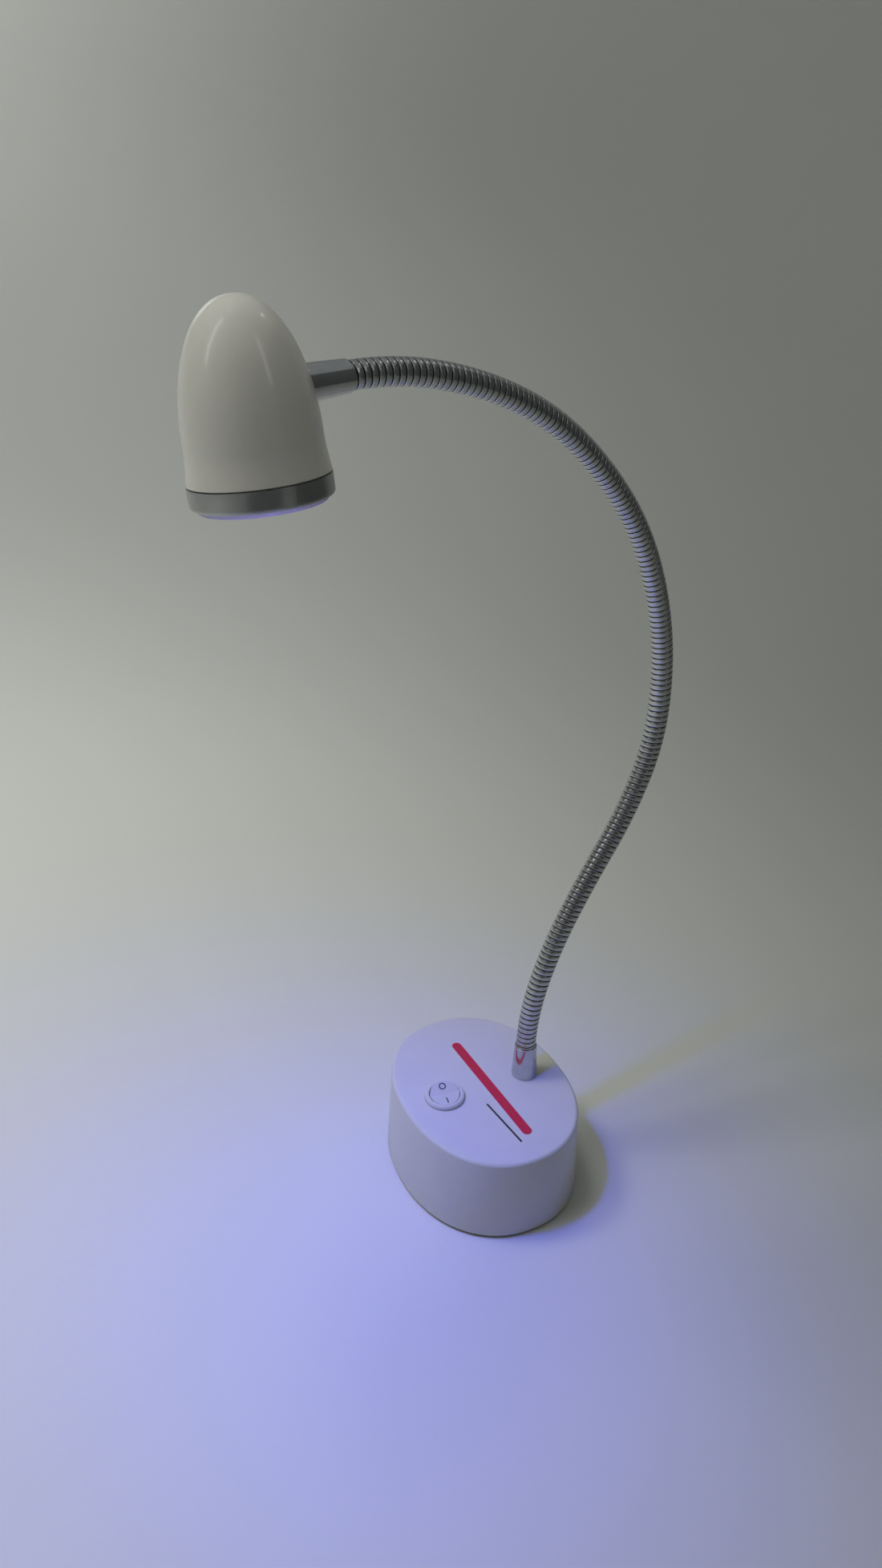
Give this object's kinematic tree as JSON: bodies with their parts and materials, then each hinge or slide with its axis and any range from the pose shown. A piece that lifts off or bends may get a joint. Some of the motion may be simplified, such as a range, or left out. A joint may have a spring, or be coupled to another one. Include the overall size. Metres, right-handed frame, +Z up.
{
  "type": "uv curing lamp",
  "caption": "Small desk lamp for curing resin with UV light: oval weighted base with a round rocker switch, slim chrome gooseneck and bullet-shaped head.",
  "frame": {"origin": "middle of the base's underside, on the surface that the lamp stands on", "axes": "+Z up; -Y towards the front, where the rocker switch is and over which the head hangs; +X to the right seen from the front, along the base's long axis"},
  "size_m": [0.0928, 0.1915, 0.354],
  "materials": {
    "housing_white": "gloss",
    "plate_grey": "fine matt",
    "screw_steel": "zinc plated",
    "pad_rubber": "matt",
    "ballast_steel": "bare",
    "tray_grey": "matt",
    "cell_jacket": "printed sleeve",
    "contact_metal": "nickel plated",
    "door_grey": "fine matt",
    "board_green": "solder mask",
    "part_black": "moulded",
    "wire_red": "satin",
    "switch_white": "gloss",
    "mark_grey": "print",
    "ferrule_chrome": "polished",
    "washer_zinc": "zinc plated",
    "hose_chrome": "polished coil",
    "lead_sheath": "satin",
    "head_pearl": "gloss",
    "ring_satin": "satin",
    "lens_clear": "frosted",
    "gasket_black": "matt",
    "reflector_metal": "metallised",
    "board_white": "coated",
    "emitter_resin": "gloss",
    "sink_aluminium": "anodised"
  },
  "bodies": {
    "base": {"base_housing": "housing_white", "base_plate": "plate_grey", "plate_screws": "screw_steel", "anti_slip_pad": "pad_rubber", "ballast_blocks": "ballast_steel", "battery_tray": "tray_grey", "battery_cells": "cell_jacket", "battery_contacts": "contact_metal", "driver_board": "board_green", "driver_parts": "part_black", "base_leads": "wire_red", "switch_body": "switch_white", "switch_terminals": "contact_metal", "base_ferrule": "ferrule_chrome", "base_ferrule_washer": "washer_zinc", "base_ferrule_nut": "washer_zinc", "neck_link_01": "hose_chrome", "neck_lead_01": "lead_sheath"},
    "rocker": {"switch_rocker": "switch_white", "switch_marks": "mark_grey"},
    "door": {"battery_door": "door_grey"},
    "neck_02": {"neck_link_02": "hose_chrome", "neck_lead_02": "lead_sheath"},
    "neck_03": {"neck_link_03": "hose_chrome", "neck_lead_03": "lead_sheath"},
    "neck_04": {"neck_link_04": "hose_chrome", "neck_lead_04": "lead_sheath"},
    "neck_05": {"neck_link_05": "hose_chrome", "neck_lead_05": "lead_sheath"},
    "neck_06": {"neck_link_06": "hose_chrome", "neck_lead_06": "lead_sheath"},
    "neck_07": {"neck_link_07": "hose_chrome", "neck_lead_07": "lead_sheath"},
    "neck_08": {"neck_link_08": "hose_chrome", "neck_lead_08": "lead_sheath"},
    "neck_09": {"neck_link_09": "hose_chrome", "neck_lead_09": "lead_sheath"},
    "neck_10": {"neck_link_10": "hose_chrome", "neck_lead_10": "lead_sheath"},
    "neck_11": {"neck_link_11": "hose_chrome", "neck_lead_11": "lead_sheath"},
    "head": {"neck_link_12": "hose_chrome", "neck_lead_12": "lead_sheath", "head_ferrule": "ferrule_chrome", "head_ferrule_washer": "washer_zinc", "head_ferrule_nut": "washer_zinc", "head_shell": "head_pearl", "trim_ring": "ring_satin", "lens": "lens_clear", "lens_gasket": "gasket_black", "reflector": "reflector_metal", "led_board": "board_white", "led_emitter": "emitter_resin", "heat_sink": "sink_aluminium"}
  },
  "joints": [
    {"name": "rocker_press", "type": "hinge", "parent": "base", "child": "rocker", "pos_m": [-0.0005, -0.018, 0.0411], "axis": [0.1392, 0.9903, 0], "range_deg": [-22, 0]},
    {"name": "door_lift", "type": "slide", "parent": "base", "child": "door", "axis": [0, 0, -1], "range_m": [0, 0.012]},
    {"name": "lower_bend", "type": "hinge", "parent": "base", "child": "neck_02", "pos_m": [-0.00034, 0.02454, 0.08652], "axis": [0.9863, 0.165, 0], "range_deg": [-15, 15]},
    {"name": "lower_bend_2", "type": "hinge", "parent": "neck_02", "child": "neck_03", "pos_m": [-0.00251, 0.03747, 0.11464], "axis": [0.9863, 0.165, 0], "range_deg": [-15, 15]},
    {"name": "lower_side", "type": "hinge", "parent": "neck_03", "child": "neck_04", "pos_m": [-0.00534, 0.05439, 0.14055], "axis": [-0.1335, 0.7979, -0.5878], "range_deg": [-18, 18]},
    {"name": "lower_bend_3", "type": "hinge", "parent": "neck_04", "child": "neck_05", "pos_m": [-0.00786, 0.06945, 0.16754], "axis": [0.9863, 0.165, 0], "range_deg": [-15, 15]},
    {"name": "middle_bend", "type": "hinge", "parent": "neck_05", "child": "neck_06", "pos_m": [-0.00892, 0.07578, 0.19776], "axis": [0.9863, 0.165, 0], "range_deg": [-15, 15]},
    {"name": "middle_bend_2", "type": "hinge", "parent": "neck_06", "child": "neck_07", "pos_m": [-0.00838, 0.07259, 0.2286], "axis": [0.9863, 0.165, 0], "range_deg": [-15, 15]},
    {"name": "middle_bend_3", "type": "hinge", "parent": "neck_07", "child": "neck_08", "pos_m": [-0.00668, 0.06237, 0.25783], "axis": [0.9863, 0.165, 0], "range_deg": [-15, 15]},
    {"name": "upper_side", "type": "hinge", "parent": "neck_08", "child": "neck_09", "pos_m": [-0.00385, 0.0455, 0.28368], "axis": [-0.1246, 0.7444, 0.6561], "range_deg": [-18, 18]},
    {"name": "upper_bend", "type": "hinge", "parent": "neck_09", "child": "neck_10", "pos_m": [-0.00014, 0.0233, 0.30505], "axis": [0.9863, 0.165, 0], "range_deg": [-15, 15]},
    {"name": "upper_bend_2", "type": "hinge", "parent": "neck_10", "child": "neck_11", "pos_m": [0.00427, -0.00304, 0.32078], "axis": [0.9863, 0.165, 0], "range_deg": [-15, 15]},
    {"name": "upper_bend_3", "type": "hinge", "parent": "neck_11", "child": "head", "pos_m": [0.00917, -0.0323, 0.32985], "axis": [0.9863, 0.165, 0], "range_deg": [-15, 15]}
  ],
  "couplings": [
    {"joint": "lower_bend_2", "follows": "lower_bend", "ratio": 1},
    {"joint": "lower_bend_3", "follows": "lower_bend", "ratio": 1},
    {"joint": "middle_bend_2", "follows": "middle_bend", "ratio": 1},
    {"joint": "middle_bend_3", "follows": "middle_bend", "ratio": 1},
    {"joint": "upper_bend_2", "follows": "upper_bend", "ratio": 1},
    {"joint": "upper_bend_3", "follows": "upper_bend", "ratio": 1}
  ]
}
